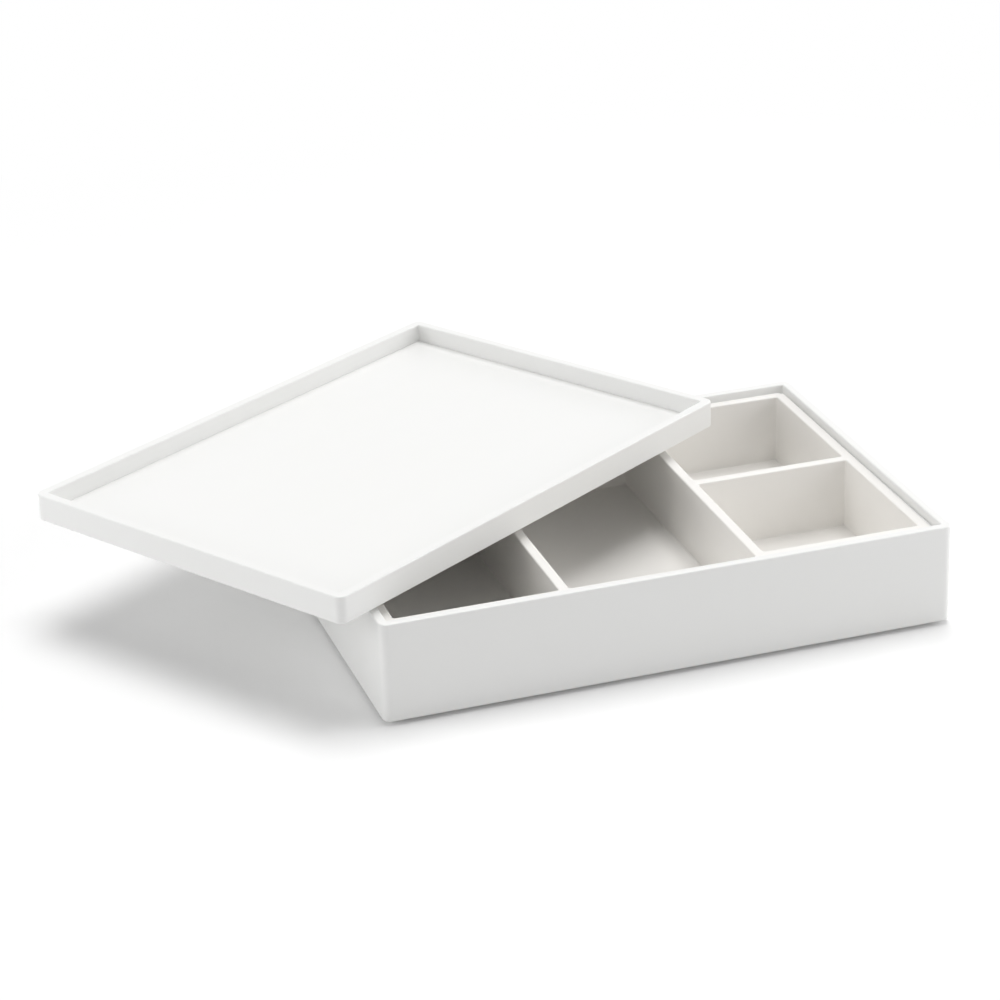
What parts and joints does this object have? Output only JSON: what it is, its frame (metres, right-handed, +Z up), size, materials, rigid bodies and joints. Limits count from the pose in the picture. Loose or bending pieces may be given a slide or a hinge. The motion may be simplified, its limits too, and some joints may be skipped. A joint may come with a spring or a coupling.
{
  "type": "lidded accessory tray",
  "caption": "Rectangular white tray box with a drop-in divided insert and a lid that is itself a shallow tray, for jewellery and small accessories.",
  "frame": {"origin": "centre of the box's foot rim, on the surface that the box stands on", "axes": "+X along the long side, +Y to the back, +Z up; the insert lies askew in its play, turned -0.4 degrees about +Z, and the lid turned 32.2 degrees"},
  "size_m": [0.3855, 0.3055, 0.064],
  "materials": {
    "white_plastic": "satin white moulded ABS"
  },
  "bodies": {
    "outer_box": {"outer_box": "white_plastic"},
    "divided_insert": {"divided_insert": "white_plastic"},
    "lid": {"lid": "white_plastic"}
  },
  "joints": [
    {"name": "insert_lift", "type": "slide", "parent": "outer_box", "child": "divided_insert", "axis": [0, 0, 1], "range_m": [0, 0.05]},
    {"name": "lid_lift", "type": "slide", "parent": "divided_insert", "child": "lid", "axis": [0, 0, 1], "range_m": [0, 0.06]}
  ]
}
